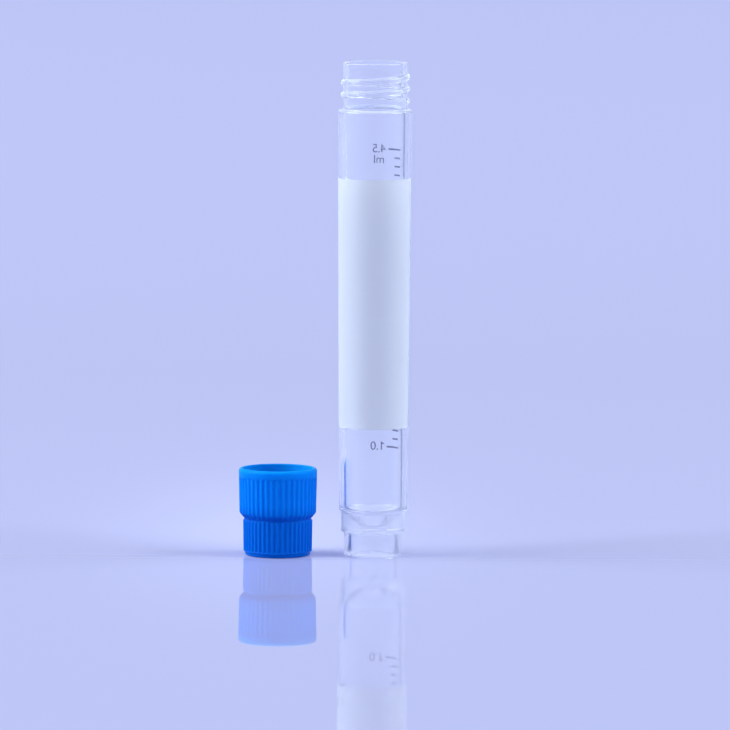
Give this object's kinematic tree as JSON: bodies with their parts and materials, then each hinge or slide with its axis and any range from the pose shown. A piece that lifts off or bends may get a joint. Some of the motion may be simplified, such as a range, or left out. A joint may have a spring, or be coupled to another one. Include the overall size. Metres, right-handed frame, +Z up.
{
  "type": "cryogenic vial",
  "caption": "Clear self-standing sample tube with an external screw thread, conical bottom and hollow foot, its blue ribbed screw cap standing beside it with the mouth up.",
  "frame": {"origin": "on the bench, midway across the whole object: the tube's axis is 8.24 mm towards +X and the cap's axis 7.87 mm towards -X, both at y = 0", "axes": "+Z up along the tube's axis towards its mouth, +X from the cap towards the tube, +Y to the back, away from the white writing patch on the tube's front"},
  "size_m": [0.029, 0.0132, 0.0834],
  "materials": {
    "clear_polypropylene": "clear moulded polypropylene, glossy",
    "blue_polypropylene": "opaque blue moulded polypropylene, satin",
    "silicone_seal": "pale translucent silicone rubber, matt"
  },
  "bodies": {
    "root": {"vial_tube": "clear_polypropylene", "screw_cap": "blue_polypropylene", "cap_seal": "silicone_seal"}
  },
  "joints": []
}
